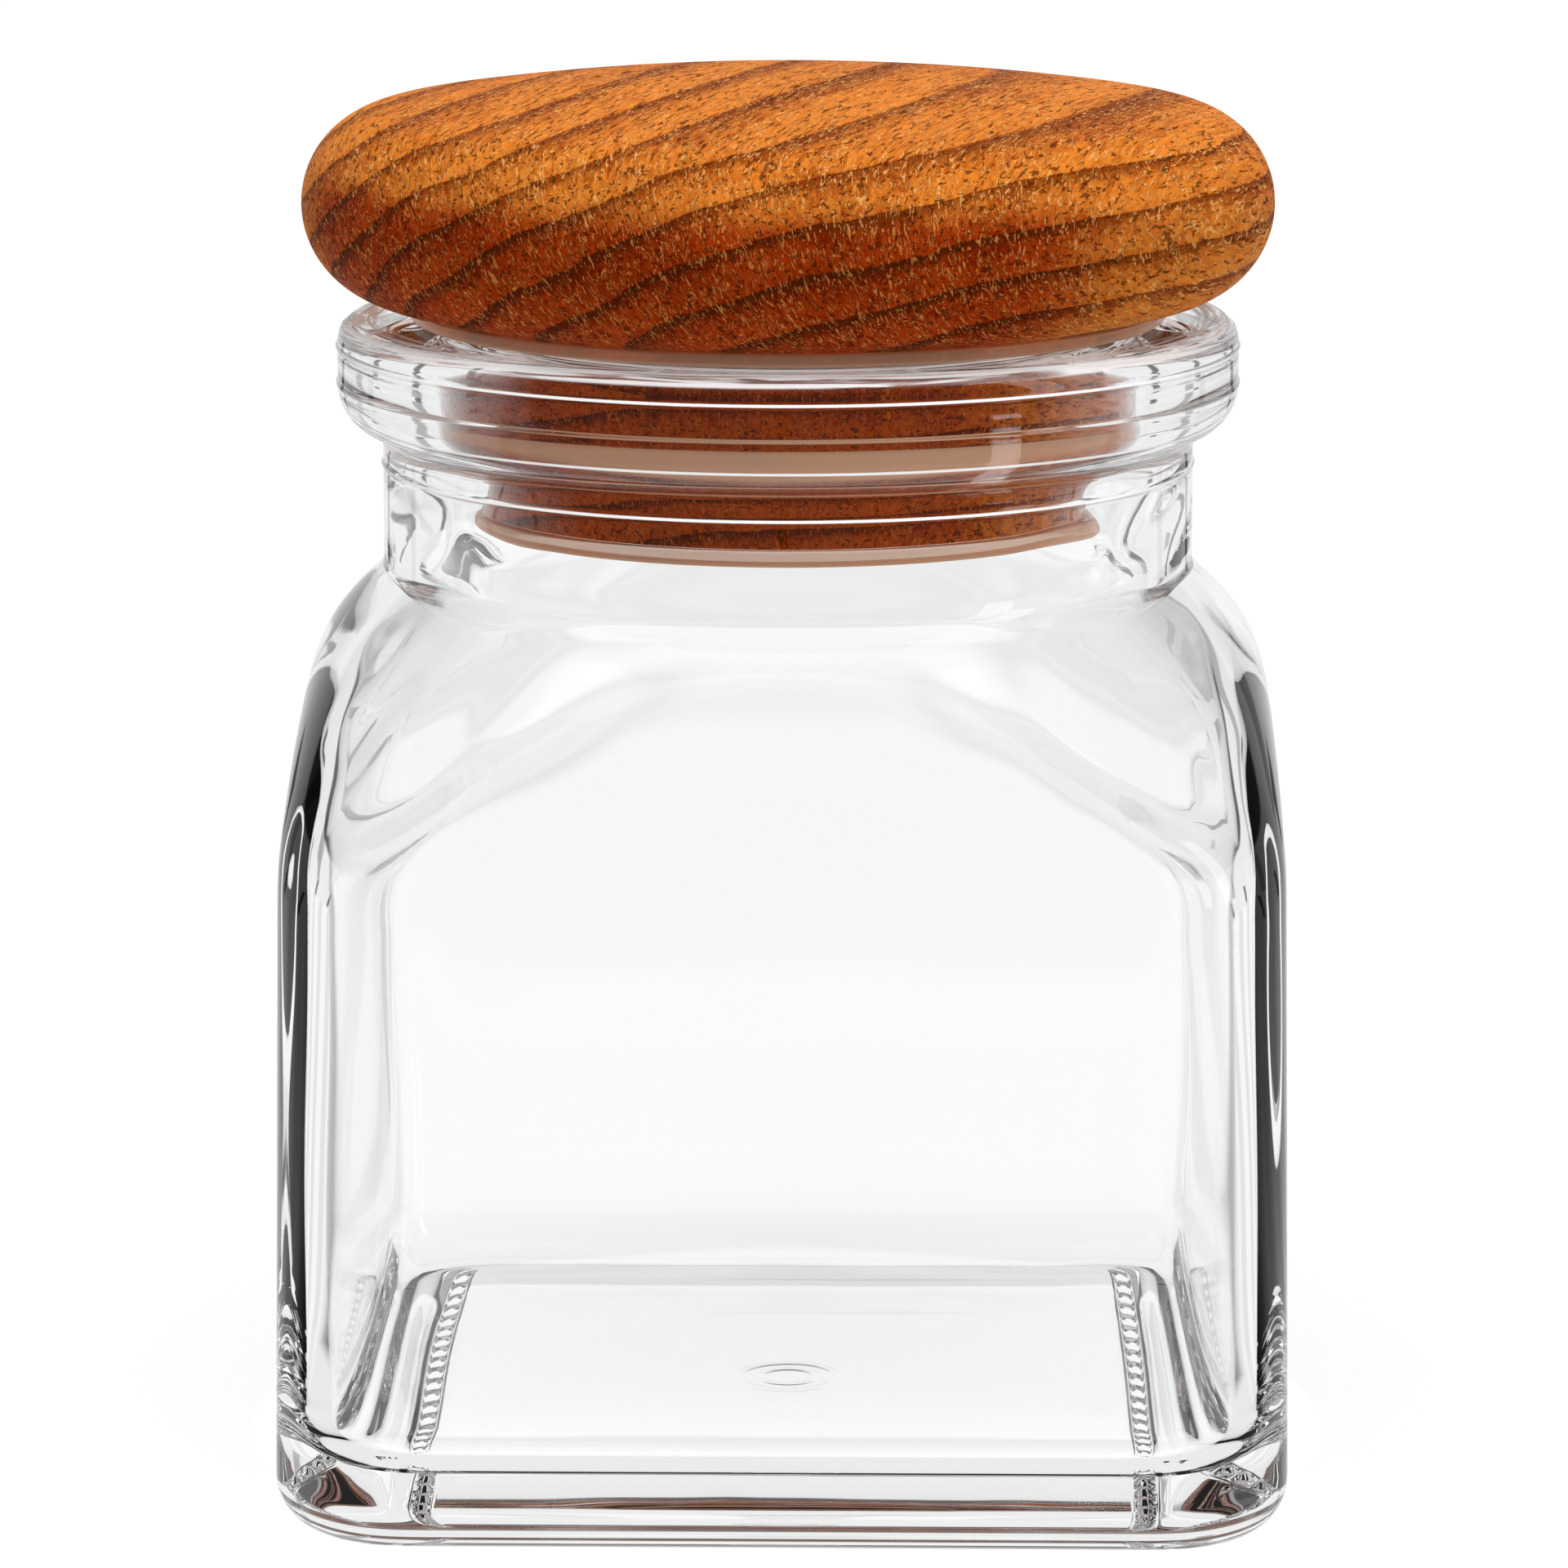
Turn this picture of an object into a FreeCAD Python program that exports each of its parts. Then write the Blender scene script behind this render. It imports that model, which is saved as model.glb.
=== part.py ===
import FreeCAD, Part
import math
import os

# Spice jar: a square jar of clear glass with a round neck, closed by a turned wooden stopper with a silicone seal.
# Lengths are in millimetres and angles in degrees. The origin is the middle of the foot, and +Z points up.

# Body of the jar
foot_width = 65.6
shoulder_width = 64.0
body_wall = 3.3
floor_thickness = 4.4
foot_round = 3.5
floor_round = 1.1

# Hollow under the foot, inside the ring that the jar stands on
standing_ring_width = 6.6
push_up_depth = 0.9
push_up_slope_width = 6.0

# Shoulder, and how much rounder the upright corners are than its arches
shoulder_height = 59.2
shoulder_slope = 43.0
shoulder_round = 7.8
corner_extra_radius = 0.7

# Neck, set in from the sides of the body by a step
neck_step = 5.25
neck_wall = 3.75
neck_height = 16.3
neck_foot_round = 1.2
bore_foot_round = 4.0

# Rim
rim_projection = 2.95
rim_height = 7.6
rim_under_slope = 24.0
rim_upper_round = 1.3
rim_lower_round = 3.0
rim_under_round = 0.8
mouth_round = 1.0

# Seal
seal_flange_overlap = 1.9
seal_flange_thickness = 0.9
seal_edge_round = 0.25
seal_depth = 13.3
seal_band_thickness = 3.47
seal_band_height = 6.3
seal_band_round = 0.9
seal_skirt_thickness = 0.7
seal_rib_count = 2
seal_rib_height = 0.5
seal_rib_reach = 0.35
seal_rib_pitch = 0.95
seal_first_rib_drop = 1.1
seal_lip_height = 1.1
seal_lip_thickness = 0.7
seal_lip_hook = 1.3

# Plug
plug_edge_round = 0.3
plug_socket_depth = 4.0

# Disc of the lid
disc_overhang = 2.25
disc_seat_inset = 0.4
disc_belly_slope = 12.6
disc_lower_edge_radius = 6.35
disc_upper_edge_radius = 6.3
disc_crown_rise = 2.0

# Clearances, and the overrun of the solids that are cut away
seal_bore_clearance = 0.25
seal_plug_clearance = 0.08
plug_socket_clearance = 0.1
overrun = 2.0

# Levels of the pieces that rest on one another
rim_top = shoulder_height + neck_height
disc_underside = rim_top + seal_flange_thickness
seal_bottom = rim_top - seal_depth
plug_bottom = seal_bottom + seal_lip_thickness + seal_plug_clearance

# Radii, from the body inwards to the plug and outwards to the rim and the disc
corner_radius = shoulder_round + corner_extra_radius
neck_radius = shoulder_width / 2 - neck_step
bore_radius = neck_radius - neck_wall
rim_radius = neck_radius + rim_projection
disc_radius = rim_radius + disc_overhang
seal_flange_radius = bore_radius + seal_flange_overlap
seal_band_radius = bore_radius - seal_bore_clearance
seal_inner_radius = seal_band_radius - seal_band_thickness
plug_radius = seal_inner_radius - seal_plug_clearance
disc_seat_radius = seal_flange_radius - disc_seat_inset


def at(radius, height):
    """Point of a turned profile, in the XZ plane."""
    return FreeCAD.Vector(radius, 0, height)


def turned(edges):
    """Solid that a closed row of profile edges sweeps round the Z axis."""
    face = Part.Face(Part.Wire(edges))
    return face.revolve(FreeCAD.Vector(0, 0, 0), FreeCAD.Vector(0, 0, 1), 360)


def rounded_profile(corners):
    """Edges of a closed profile, from its corners as (radius, height, rounding)."""
    starts = []
    ends = []
    arcs = []
    for index, (radius, height, rounding) in enumerate(corners):
        corner = at(radius, height)
        if rounding == 0:
            starts.append(corner)
            ends.append(corner)
            arcs.append(None)
            continue
        before = corners[index - 1]
        after = corners[(index + 1) % len(corners)]
        back = (at(before[0], before[1]) - corner).normalize()
        on = (at(after[0], after[1]) - corner).normalize()
        half_angle = back.getAngle(on) / 2
        start = corner + back * (rounding / math.tan(half_angle))
        end = corner + on * (rounding / math.tan(half_angle))
        inward = (back + on).normalize()
        middle = corner + inward * (rounding / math.sin(half_angle) - rounding)
        starts.append(start)
        ends.append(end)
        arcs.append(Part.Arc(start, middle, end).toShape())
    edges = []
    for index in range(len(corners)):
        following = (index + 1) % len(corners)
        if arcs[index] is not None:
            edges.append(arcs[index])
        if not ends[index].isEqual(starts[following], Part.Precision.confusion()):
            edges.append(Part.makeLine(ends[index], starts[following]))
    return edges


def rounded_square(width, radius, height):
    """Closed wire of a square with rounded corners, level at a height."""
    reach = width / 2
    flat = reach - radius
    bulge = flat + radius * math.sqrt(0.5)
    edges = []
    for quarter in range(4):
        turn = FreeCAD.Rotation(FreeCAD.Vector(0, 0, 1), 90 * quarter)
        lift = FreeCAD.Vector(0, 0, height)
        start = turn.multVec(FreeCAD.Vector(reach, -flat, 0)) + lift
        end = turn.multVec(FreeCAD.Vector(reach, flat, 0)) + lift
        middle = turn.multVec(FreeCAD.Vector(bulge, bulge, 0)) + lift
        following = turn.multVec(FreeCAD.Vector(flat, reach, 0)) + lift
        edges.append(Part.makeLine(start, end))
        edges.append(Part.Arc(end, middle, following).toShape())
    return Part.Wire(edges)


def drafted_prism(low_width, high_width, radius, low, high):
    """Prism of rounded squares between two heights, with a straight draft."""
    foot = rounded_square(low_width, radius, low)
    head = rounded_square(high_width, radius, high)
    return Part.makeLoft([foot, head], True, True)


def body_width(height):
    """Outer width of the body, drafted from the foot to the shoulder."""
    return foot_width + (shoulder_width - foot_width) * height / shoulder_height


def level_edges(shape, height):
    """Edges of a shape that lie level at a height."""
    found = []
    for edge in shape.Edges:
        box = edge.BoundBox
        if max(abs(box.ZMin - height), abs(box.ZMax - height)) < Part.Precision.confusion() * 100:
            found.append(edge)
    return found


def arch_edges(shape):
    """Edges of the arches where the cone of a shoulder cuts the flat sides and the corners of a prism."""
    found = []
    for edge in shape.Edges:
        cone_count = 0
        prism_count = 0
        for face in shape.ancestorsOfType(edge, Part.Face):
            if isinstance(face.Surface, Part.Cone):
                cone_count += 1
            elif face.BoundBox.ZMin < edge.BoundBox.ZMin:
                prism_count += 1
        if cone_count == 1 and prism_count == 1:
            found.append(edge)
    return found


def round_edges(shape, radius, height):
    """Level edges of a shape that follow a circle of a radius round the Z axis."""
    found = []
    for edge in level_edges(shape, height):
        if isinstance(edge.Curve, Part.Circle) and abs(edge.Curve.Radius - radius) < seal_bore_clearance:
            found.append(edge)
    return found


# Shoulder: a cone, from inside the neck out to a radius beyond the corners of the body
slope_angle = math.radians(shoulder_slope)
shoulder_reach = max(foot_width, shoulder_width) / 2 * math.sqrt(2)


def cone_height(radius, depth):
    """Height of the shoulder's cone at a radius, or of its parallel at a depth below the surface."""
    return shoulder_height + (neck_radius - radius) * math.tan(slope_angle) - depth / math.cos(slope_angle)


def shoulder_form(low, tip_radius, depth):
    """Turned form under the shoulder's cone, or under its parallel at a depth below the surface."""
    tip = cone_height(tip_radius, depth)
    return turned(rounded_profile([
        (0, low, 0),
        (shoulder_reach, low, 0),
        (shoulder_reach, cone_height(shoulder_reach, depth), 0),
        (tip_radius, tip, 0),
        (0, tip, 0),
    ]))


# Outside of the jar: a drafted prism under the cone of the shoulder, with the turned neck and rim on it
rim_underside = rim_top - rim_height
rim_edge_height = rim_underside + rim_projection * math.tan(math.radians(rim_under_slope))
outer_body = drafted_prism(foot_width, body_width(rim_top), corner_radius, 0, rim_top)
outer_body = outer_body.common(shoulder_form(0, bore_radius, 0))
outer_body = outer_body.makeFillet(shoulder_round, arch_edges(outer_body))
outer_body = outer_body.makeFillet(foot_round, level_edges(outer_body, 0))
neck = turned(rounded_profile([
    (0, floor_thickness, 0),
    (neck_radius, floor_thickness, 0),
    (neck_radius, rim_underside, rim_under_round),
    (rim_radius, rim_edge_height, rim_lower_round),
    (rim_radius, rim_top, rim_upper_round),
    (0, rim_top, 0),
]))
jar_outside = outer_body.fuse(neck)
jar_outside = jar_outside.makeFillet(neck_foot_round, round_edges(jar_outside, neck_radius, shoulder_height))

# Inside of the jar: the same forms, one wall further in
inner_body = drafted_prism(
    body_width(floor_thickness) - 2 * body_wall,
    body_width(rim_top) - 2 * body_wall,
    corner_radius - body_wall,
    floor_thickness,
    rim_top,
)
inner_body = inner_body.common(shoulder_form(floor_thickness, plug_radius, body_wall))
inner_body = inner_body.makeFillet(shoulder_round - body_wall, arch_edges(inner_body))
inner_body = inner_body.makeFillet(floor_round, level_edges(inner_body, floor_thickness))
bore_foot = cone_height(bore_radius, body_wall)
bore = Part.makeCylinder(bore_radius, rim_top + overrun - shoulder_height / 2, at(0, shoulder_height / 2))
jar_inside = inner_body.fuse(bore)
jar_inside = jar_inside.makeFillet(bore_foot_round, round_edges(jar_inside, bore_radius, bore_foot))

# Hollow under the foot, with sloping sides
ring_inner_width = foot_width - 2 * (foot_round + standing_ring_width)
ring_inner_corner = corner_radius - foot_round
push_up_slope_rate = push_up_slope_width / push_up_depth
push_up = drafted_prism(
    ring_inner_width + 2 * overrun * push_up_slope_rate,
    ring_inner_width - 2 * push_up_slope_width,
    ring_inner_corner,
    -overrun,
    push_up_depth,
)

glass_jar = jar_outside.cut(jar_inside).cut(push_up)
glass_jar = glass_jar.makeFillet(mouth_round, round_edges(glass_jar, bore_radius, rim_top))

# Silicone seal: flange on the rim, band in the bore, thin ribbed skirt and a lip that hooks under the plug
seal_band_bottom = rim_top - seal_band_height
seal_skirt_radius = seal_inner_radius + seal_skirt_thickness
seal_rib_radius = seal_skirt_radius + seal_rib_reach
seal_hook_radius = seal_inner_radius - seal_lip_hook
seal_lip_top = seal_bottom + seal_lip_height
seal_hook_top = seal_bottom + seal_lip_thickness
rib_round = seal_rib_height / 3

seal_corners = [
    (seal_inner_radius, disc_underside, 0),
    (seal_flange_radius, disc_underside, seal_edge_round),
    (seal_flange_radius, rim_top, seal_edge_round),
    (seal_band_radius, rim_top, 0),
    (seal_band_radius, seal_band_bottom, seal_band_round),
    (seal_skirt_radius, seal_band_bottom, 0),
]
for rib in range(seal_rib_count):
    rib_top = seal_band_bottom - seal_first_rib_drop - seal_rib_pitch * rib
    rib_bottom = rib_top - seal_rib_height
    seal_corners.append((seal_skirt_radius, rib_top, 0))
    seal_corners.append((seal_rib_radius, rib_top, rib_round))
    seal_corners.append((seal_rib_radius, rib_bottom, rib_round))
    seal_corners.append((seal_skirt_radius, rib_bottom, 0))
seal_corners += [
    (seal_skirt_radius, seal_lip_top, 0),
    (seal_rib_radius, seal_lip_top, seal_edge_round),
    (seal_rib_radius, seal_bottom, seal_edge_round),
    (seal_hook_radius, seal_bottom, seal_edge_round),
    (seal_hook_radius, seal_hook_top, 0),
    (seal_inner_radius, seal_hook_top, 0),
]
seal_ring = turned(rounded_profile(seal_corners))

# Wooden plug, glued into the socket of the disc
socket_top = disc_underside + plug_socket_depth
lid_plug = turned(rounded_profile([
    (0, plug_bottom, 0),
    (plug_radius, plug_bottom, plug_edge_round),
    (plug_radius, socket_top, plug_edge_round),
    (0, socket_top, 0),
]))

# Wooden disc: flat seat below, a short conical belly, two edge arcs that meet at the widest level, a crowned top
belly_angle = math.radians(disc_belly_slope)
belly_corner = disc_underside + (disc_radius - disc_seat_radius) * math.tan(belly_angle)
widest_level = belly_corner + disc_lower_edge_radius * math.tan((math.pi / 2 - belly_angle) / 2)
disc_top = widest_level + disc_upper_edge_radius + disc_crown_rise
upper_centre = at(disc_radius - disc_upper_edge_radius, widest_level)
crown_height = disc_upper_edge_radius + disc_crown_rise
crown_radius = (upper_centre.x ** 2 + crown_height ** 2 - disc_upper_edge_radius ** 2) / (2 * disc_crown_rise)
crown_centre = at(0, disc_top - crown_radius)
to_edge = upper_centre - crown_centre
edge_angle = math.atan2(to_edge.z, to_edge.x)


def on_arc(centre, radius, angle):
    """Point of a profile arc at an angle above the level."""
    return centre + at(math.cos(angle), math.sin(angle)) * radius


lower_centre = at(disc_radius - disc_lower_edge_radius, widest_level)
lower_tangent = on_arc(lower_centre, disc_lower_edge_radius, belly_angle - math.pi / 2)
lower_middle = on_arc(lower_centre, disc_lower_edge_radius, (belly_angle - math.pi / 2) / 2)
upper_middle = on_arc(upper_centre, disc_upper_edge_radius, edge_angle / 2)
upper_tangent = on_arc(upper_centre, disc_upper_edge_radius, edge_angle)
crown_middle = on_arc(crown_centre, crown_radius, (edge_angle + math.pi / 2) / 2)

seat_edge = at(disc_seat_radius, disc_underside)
widest_point = at(disc_radius, widest_level)
socket_radius = plug_radius + plug_socket_clearance
lid_disc = turned([
    Part.makeLine(at(socket_radius, disc_underside), seat_edge),
    Part.makeLine(seat_edge, lower_tangent),
    Part.Arc(lower_tangent, lower_middle, widest_point).toShape(),
    Part.Arc(widest_point, upper_middle, upper_tangent).toShape(),
    Part.Arc(upper_tangent, crown_middle, at(0, disc_top)).toShape(),
    Part.makeLine(at(0, disc_top), at(0, socket_top)),
    Part.makeLine(at(0, socket_top), at(socket_radius, socket_top)),
    Part.makeLine(at(socket_radius, socket_top), at(socket_radius, disc_underside)),
])

os.makedirs("parts", exist_ok=True)
pieces = {
    "glass_jar": glass_jar,
    "lid_disc": lid_disc,
    "lid_plug": lid_plug,
    "seal_ring": seal_ring,
}
for name, shape in pieces.items():
    solid = shape.Solids[0]
    print(name, len(shape.Solids), "solid", "valid" if solid.isValid() else "not valid", round(solid.Volume / 1000, 2), "ml")
    solid.exportStep("parts/" + name + ".step")
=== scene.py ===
import math
import bpy
import numpy as np
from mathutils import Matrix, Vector


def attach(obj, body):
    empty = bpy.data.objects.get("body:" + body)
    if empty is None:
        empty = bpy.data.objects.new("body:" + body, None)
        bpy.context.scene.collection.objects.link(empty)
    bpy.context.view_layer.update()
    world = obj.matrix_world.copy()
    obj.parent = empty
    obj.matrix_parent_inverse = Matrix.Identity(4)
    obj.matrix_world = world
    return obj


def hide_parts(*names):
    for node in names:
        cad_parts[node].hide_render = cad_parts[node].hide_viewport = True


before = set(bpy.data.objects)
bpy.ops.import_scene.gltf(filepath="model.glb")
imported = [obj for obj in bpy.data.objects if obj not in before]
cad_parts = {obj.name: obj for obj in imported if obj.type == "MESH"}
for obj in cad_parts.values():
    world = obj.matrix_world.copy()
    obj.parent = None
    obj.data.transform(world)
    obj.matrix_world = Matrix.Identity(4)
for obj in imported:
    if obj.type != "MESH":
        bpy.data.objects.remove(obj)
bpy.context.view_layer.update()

# Spice jar: clear glass, a turned wooden stopper and a clear silicone seal.
# Shapes are given in millimetres, as in the part's source, and turned to metres when a mesh is made.
MM = 0.001

# Sizes of the jar. The floor's rounding, the shoulder's roundings, the ring under the foot and the rounding
# of the neck's foot are set by how the glass looks, and the others are as in the part's source. The skin
# lies a little inside the part's solid.
SKIN_INSET = 0.04
FOOT_HALF = 32.8
SHOULDER_HALF = 32.0
SHOULDER_HEIGHT = 59.2
CORNER = 8.5
WALL = 3.3
FLOOR = 4.4
FOOT_ROUND = 3.5
FLOOR_ROUND = 3.6
RING_INNER_HALF = 22.7
RING_INNER_DEPTH = 28.0
PUSH_UP = 0.05
SLOPE = math.radians(43.0)
NECK_R = 26.75
BORE_R = 23.0
NECK_FOOT_ROUND = 0.5
BORE_FOOT_ROUND = 4.0
NECK_TOP = 67.9
RIM_FOOT = 69.21
RIM_TOP = 75.5
RIM_R = 29.7
BORE_FOOT = 58.19
OUTER_ROUND = 8.5
INNER_ROUND = 5.0
ROUND_SWING = 5.0

# Sizes of the seal, the plug and the disc, as in the part's source
DISC_UNDERSIDE = 76.4
SEAL_BOTTOM = 62.2
SEAL_FLANGE_R = 24.9
SEAL_BAND_R = 22.75
SEAL_INNER_R = 19.28
SEAL_BAND_BOTTOM = 69.2
SEAL_SKIRT_R = 19.98
SEAL_RIB_R = 20.33
SEAL_HOOK_R = 17.98
SEAL_LIP_TOP = 63.3
SEAL_HOOK_TOP = 62.9
RIB_TOPS = (68.1, 67.15)
RIB_HEIGHT = 0.5
PLUG_R = 19.2
PLUG_BOTTOM = 62.98
SOCKET_TOP = 80.4
SOCKET_R = 19.3
DISC_R = 31.95
DISC_SEAT_R = 24.5
WIDEST_LEVEL = 83.15
DISC_TOP = 91.45

# Marks that the moulds leave in the glass
SEAM_LEVELS = (66.0, 71.38, 73.77)
# Heights of the painted highlight lines on the neck and rim: two of the seams and one near the rim's foot
HIGHLIGHT_LINE_LEVELS = (66.0, 69.35, 73.77)
SEAM_REACH = 0.12
SEAM_WIDTH = 0.14
BAR_PITCH = 2.9
BARS_HALF = 27.0
BAR_DEPTH = 0.35
BAR_MIDDLE = 23.6
BAR_LEAN = 0.9
BORDER_DEPTH = 0.12
MARK_RINGS = (1.9, 3.3)
MARK_WIDTH = 0.3
MARK_DEPTH = 0.02


# Meshes

def mesh_piece(name, points, faces):
    """Object with a smooth mesh, from points in millimetres."""
    mesh = bpy.data.meshes.new(name)
    mesh.from_pydata((np.asarray(points) * MM).tolist(), [], faces)
    mesh.polygons.foreach_set("use_smooth", [True] * len(mesh.polygons))
    mesh.validate()
    mesh.update()
    piece = bpy.data.objects.new(name, mesh)
    bpy.context.scene.collection.objects.link(piece)
    return piece


def ring_faces(count, first, second):
    """Quads between two rings of points, given by the index of each ring's first point."""
    return [
        (first + j, first + (j + 1) % count, second + (j + 1) % count, second + j)
        for j in range(count)
    ]


def wrapped_piece(name, rings, low_pole=None, high_pole=None):
    """Closed piece from rings of points.

    With poles it ends in two points. Without them the last ring meets the first.
    """
    count = len(rings[0])
    points = [p for ring in rings for p in ring]
    faces = []
    for i in range(len(rings) - 1):
        faces += ring_faces(count, i * count, (i + 1) * count)
    last = (len(rings) - 1) * count
    if low_pole is None:
        faces += ring_faces(count, last, 0)
    else:
        points += [low_pole, high_pole]
        low, high = len(points) - 2, len(points) - 1
        faces += [(low, (j + 1) % count, j) for j in range(count)]
        faces += [(high, last + j, last + (j + 1) % count) for j in range(count)]
    return mesh_piece(name, points, faces)


def arc_points(corner, back, on, rounding, shares):
    """Points of the arc that rounds a corner between two unit directions.

    Works on single corners and on rows of them.
    """
    cosine = np.clip(np.sum(back * on, axis=-1), -1, 1)
    half_angle = np.arccos(cosine) / 2
    reach = rounding / np.tan(half_angle)
    inward = back + on
    inward = inward / np.linalg.norm(inward, axis=-1, keepdims=True)
    centre = corner + inward * (rounding / np.sin(half_angle))[..., None]
    start = corner + back * reach[..., None]
    end = corner + on * reach[..., None]
    turn = np.pi - 2 * half_angle
    rows = []
    for share in shares:
        weight_start = np.sin((1 - share) * turn) / np.sin(turn)
        weight_end = np.sin(share * turn) / np.sin(turn)
        out = (start - centre) * weight_start[..., None] + (end - centre) * weight_end[..., None]
        rows.append(centre + out)
    return rows


def profile(corners, closed, arc_count=9, step=1.2):
    """Points of a profile with rounded corners, given as (radius, height, rounding)."""
    found = []
    count = len(corners)
    for i, (radius, height, rounding) in enumerate(corners):
        corner = np.array([radius, height], float)
        if rounding == 0 or (not closed and i in (0, count - 1)):
            found.append([corner])
            continue
        back = np.array(corners[i - 1][:2], float) - corner
        on = np.array(corners[(i + 1) % count][:2], float) - corner
        back /= np.linalg.norm(back)
        on /= np.linalg.norm(on)
        shares = np.linspace(0, 1, arc_count)
        found.append(arc_points(corner, back, on, np.float64(rounding), shares))
    points = []
    for i, run in enumerate(found):
        points += run
        if i == count - 1 and not closed:
            break
        start, end = run[-1], found[(i + 1) % count][0]
        pieces = int(np.linalg.norm(end - start) / step) + 1
        points += [start + (end - start) * k / pieces for k in range(1, pieces)]
    return np.array(points)


def turned_piece(name, points, segments=256, low_pole=None, high_pole=None):
    """Piece that a profile of (radius, height) points sweeps round the Z axis."""
    angles = np.arange(segments) * (2 * np.pi / segments)
    rings = []
    for radius, height in points:
        ring = np.stack([radius * np.cos(angles), radius * np.sin(angles), np.full(segments, height)], axis=1)
        rings.append(ring)
    return wrapped_piece(name, rings, low_pole, high_pole)


# Glass jar: one closed skin, from the middle of the foot out and up to the rim, then down inside to the floor

def eased(value, start, run):
    """Smooth step from 0 to 1, from a start over a run."""
    share = np.clip((value - start) / run, 0, 1)
    return share * share * (3 - 2 * share)


def off_side_middle(turns):
    """How far directions are turned from the middle of the nearest side."""
    return np.abs((turns + np.pi / 4) % (np.pi / 2) - np.pi / 4)


# Directions of the jar's grid: even steps across each flat side, and finer ones round the corners
FLAT_SHARE = 0.74
FLAT_POINTS = 85
CORNER_POINTS = 61
flat_angles = np.arctan(np.linspace(-FLAT_SHARE, FLAT_SHARE, FLAT_POINTS))
corner_angles = np.linspace(flat_angles[-1], np.pi / 2 - flat_angles[-1], CORNER_POINTS)[1:-1]
quarter = np.concatenate([flat_angles, corner_angles])
angles = np.concatenate([quarter + k * np.pi / 2 for k in range(4)])
off_middle = off_side_middle(angles)
corner_weight = np.sin(2 * off_middle)
corner_only = eased(off_middle, 0.52, 0.2)

# Left and right sides of the standing ring, which carry the bars
along_sides = np.clip((np.abs(np.cos(angles)) - 0.635) / 0.02, 0, 1)

# Small turns that a rounded square is averaged over, so that its corners start gently
EASING = np.radians((-1.8, -0.9, 0.0, 0.9, 1.8))


def square_reach(half, corner):
    """Distance from the axis to a rounded square, in each direction of the jar's grid."""
    flat = half - corner
    total = np.zeros_like(angles)
    for shift in EASING:
        turned = off_side_middle(angles + shift)
        cos, sin = np.cos(turned), np.sin(turned)
        on_corner = flat * (cos + sin) + np.sqrt(np.maximum(corner ** 2 - (flat * (cos - sin)) ** 2, 0))
        total += np.where(half * np.tan(turned) <= flat, half / cos, on_corner)
    return total / len(EASING)


def body_half(height):
    """Half of the body's outer width at a height."""
    return FOOT_HALF - SKIN_INSET + (SHOULDER_HALF - FOOT_HALF) * height / SHOULDER_HEIGHT


levels = []


def level(reach, height):
    """Adds one ring of the jar's skin, as distances from the axis and heights."""
    levels.append((reach * np.ones_like(angles), height * np.ones_like(angles)))


def level_run(start, end, shares):
    """Adds rings between two rings."""
    for share in shares:
        level(start[0] + (end[0] - start[0]) * share, start[1] + (end[1] - start[1]) * share)


# How far a shoulder's rounding reaches, against a round one, and how softly it ends before the neck
ROUNDING_SPREAD = 1.45
NECK_MARGIN = 0.5
SOFTNESS = 1.2


def shoulder_rows(inset, rounding, count):
    """Rings of a shoulder's rounding, between the upright wall and the cone, at an inset from the outside."""
    tangent = np.tan(SLOPE)
    cone_foot = SHOULDER_HEIGHT - inset / math.cos(SLOPE)
    low, high = 40.0, 50.0
    low_reach = square_reach(body_half(low) - inset, CORNER - inset)
    lean = (square_reach(body_half(high) - inset, CORNER - inset) - low_reach) / (high - low)
    height = (cone_foot + (NECK_R - low_reach + lean * low) * tangent) / (1 + lean * tangent)
    reach = low_reach + lean * (height - low)
    corner = np.stack([reach, height], axis=1)
    down = np.stack([-lean, -np.ones_like(lean)], axis=1)
    down /= np.linalg.norm(down, axis=1, keepdims=True)
    up = np.tile([-math.cos(SLOPE), math.sin(SLOPE)], (len(angles), 1))
    reach_down = ROUNDING_SPREAD * rounding * np.tan((np.pi / 2 - SLOPE) / 2)
    room = (reach - NECK_R + inset * 0.9 - NECK_MARGIN) / math.cos(SLOPE)
    reach_up = -np.log(np.exp(-SOFTNESS * reach_down) + np.exp(-SOFTNESS * room)) / SOFTNESS
    rows = []
    for share in np.linspace(0, 1, count):
        rest = 1 - share
        on_wall = (rest ** 4 + 2 * rest ** 3 * share) * reach_down
        on_cone = (share ** 4 + 2 * share ** 3 * rest) * reach_up
        rows.append(corner + down * on_wall[:, None] + up * on_cone[:, None])
    return [(row[:, 0], row[:, 1]) for row in rows]


# The ring under the foot is an oblong, longer from front to back. Outwards its width grows faster
# than its depth.
RING_POWER = 30
RING_DEPTH_GROWTH = 0.22


def ring_reach(half_width):
    """Distance from the axis to the oblong under the foot, given by half of its width."""
    if half_width <= RING_INNER_HALF:
        half_depth = half_width * RING_INNER_DEPTH / RING_INNER_HALF
    else:
        half_depth = RING_INNER_DEPTH + (half_width - RING_INNER_HALF) * RING_DEPTH_GROWTH
    across = np.abs(np.cos(angles)) / half_width
    along = np.abs(np.sin(angles)) / half_depth
    return (across ** RING_POWER + along ** RING_POWER) ** (-1 / RING_POWER)


def bars(reach):
    """Height of the grooves across the standing ring, as a share of their depth."""
    across = np.abs(reach * np.cos(angles))
    along = reach * np.sin(angles) + (across - BAR_MIDDLE) * BAR_LEAN
    wave = 0.5 + 0.5 * np.cos(2 * np.pi * along / BAR_PITCH)
    return eased(wave, 0.3, 0.5) * (np.abs(along) < BARS_HALF) * along_sides


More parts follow.
